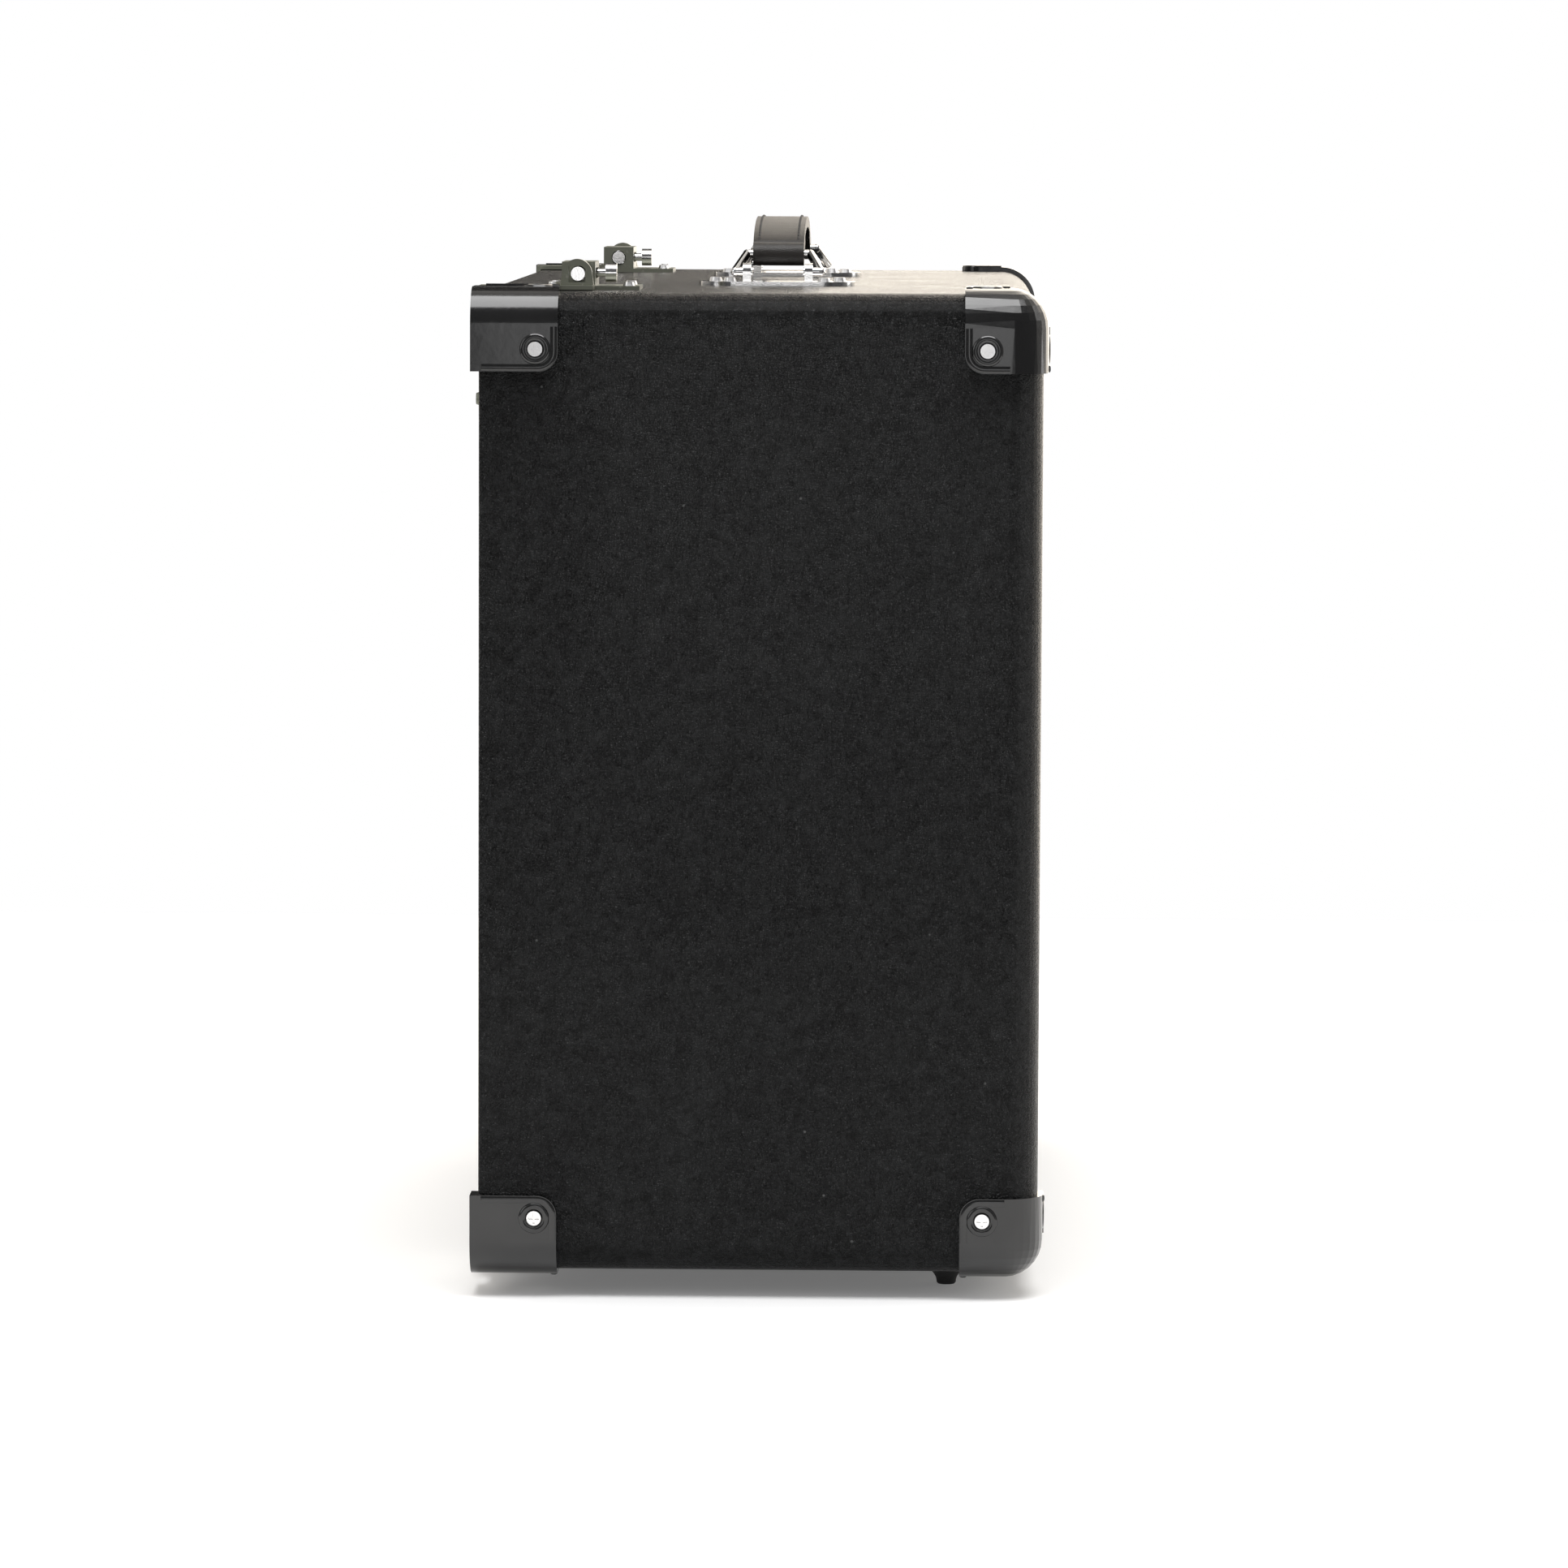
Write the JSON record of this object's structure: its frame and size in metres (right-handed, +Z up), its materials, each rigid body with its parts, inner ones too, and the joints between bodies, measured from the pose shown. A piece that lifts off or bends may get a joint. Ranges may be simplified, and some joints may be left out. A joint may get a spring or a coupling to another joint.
{
  "type": "poker chip case",
  "caption": "Upright leatherette-covered chip case with a drop-down front lid, corner protectors, strap handle, sliding bolts and lift-out chip trays.",
  "frame": {"origin": "centre of the overall footprint, on the floor under the feet", "axes": "+Z up, +Y along the length of the case and its handle, -X towards the lid, +X towards the back"},
  "size_m": [0.2085, 0.4548, 0.3835],
  "materials": {
    "board": "plain plywood",
    "leatherette": "fine creased grain, soft sheen",
    "felt": "short nap",
    "corner": "glossy",
    "screw": "bright plated",
    "foot": "matte",
    "hardware": "bright plated",
    "housing": "grey-green enamel",
    "strap": "smooth, stitched",
    "tray": "flocked",
    "ribbon": "woven satin"
  },
  "bodies": {
    "case": {"board_top": "board", "board_bottom": "board", "board_near_end": "board", "board_far_end": "board", "board_back": "board", "cover_shell": "leatherette", "lining": "felt", "corner_near_top_front": "corner", "corner_near_bottom_front": "corner", "corner_far_top_front": "corner", "corner_far_bottom_front": "corner", "corner_near_top_back": "corner", "corner_near_bottom_back": "corner", "corner_far_top_back": "corner", "corner_far_bottom_back": "corner", "corner_screws": "screw", "rubber_feet": "foot", "foot_screws": "screw", "handle_plates": "hardware", "handle_plate_screws": "screw", "hinge_leaves_body": "hardware", "hinge_screws_body": "screw", "hinge_pins": "hardware", "bolt_housings": "housing", "bolt_housing_screws": "screw", "tray_inner": "tray", "tray_outer": "tray", "tray_ribbons": "ribbon", "accessory_tray": "tray", "accessory_dividers": "tray"},
    "lid": {"lid_board": "board", "lid_cover": "leatherette", "lid_pad": "felt", "hinge_leaves_lid": "hardware", "hinge_screws_lid": "screw", "hasps": "hardware", "hasp_screws": "screw"},
    "handle_strap": {"strap": "strap"},
    "handle_ring_near": {"ring_near": "hardware"},
    "handle_ring_far": {"ring_far": "hardware"},
    "bolt_near": {"bolt_near": "hardware"},
    "bolt_far": {"bolt_far": "hardware"}
  },
  "joints": [
    {"name": "lid_hinge", "type": "hinge", "parent": "case", "child": "lid", "pos_m": [-0.10125, 0, 0.0195], "axis": [0, -1, 0], "range_deg": [0, 90]},
    {"name": "handle_lift", "type": "slide", "parent": "case", "child": "handle_strap", "axis": [0, 0, 1], "range_m": [0, 0.003]},
    {"name": "ring_near_swing", "type": "hinge", "parent": "case", "child": "handle_ring_near", "pos_m": [0.00445, -0.08, 0.3639], "axis": [1, 0, 0], "range_deg": [0, 13.5]},
    {"name": "ring_far_swing", "type": "hinge", "parent": "case", "child": "handle_ring_far", "pos_m": [0.00445, 0.08, 0.3639], "axis": [-1, 0, 0], "range_deg": [0, 13.5]},
    {"name": "bolt_near_slide", "type": "slide", "parent": "case", "child": "bolt_near", "axis": [0, -1, 0], "range_m": [0, 0.012]},
    {"name": "bolt_far_slide", "type": "slide", "parent": "case", "child": "bolt_far", "axis": [0, 1, 0], "range_m": [0, 0.012]}
  ],
  "couplings": [
    {"joint": "ring_near_swing", "follows": "handle_lift", "rad_per_m": 78.5},
    {"joint": "ring_far_swing", "follows": "handle_lift", "rad_per_m": 78.5}
  ]
}
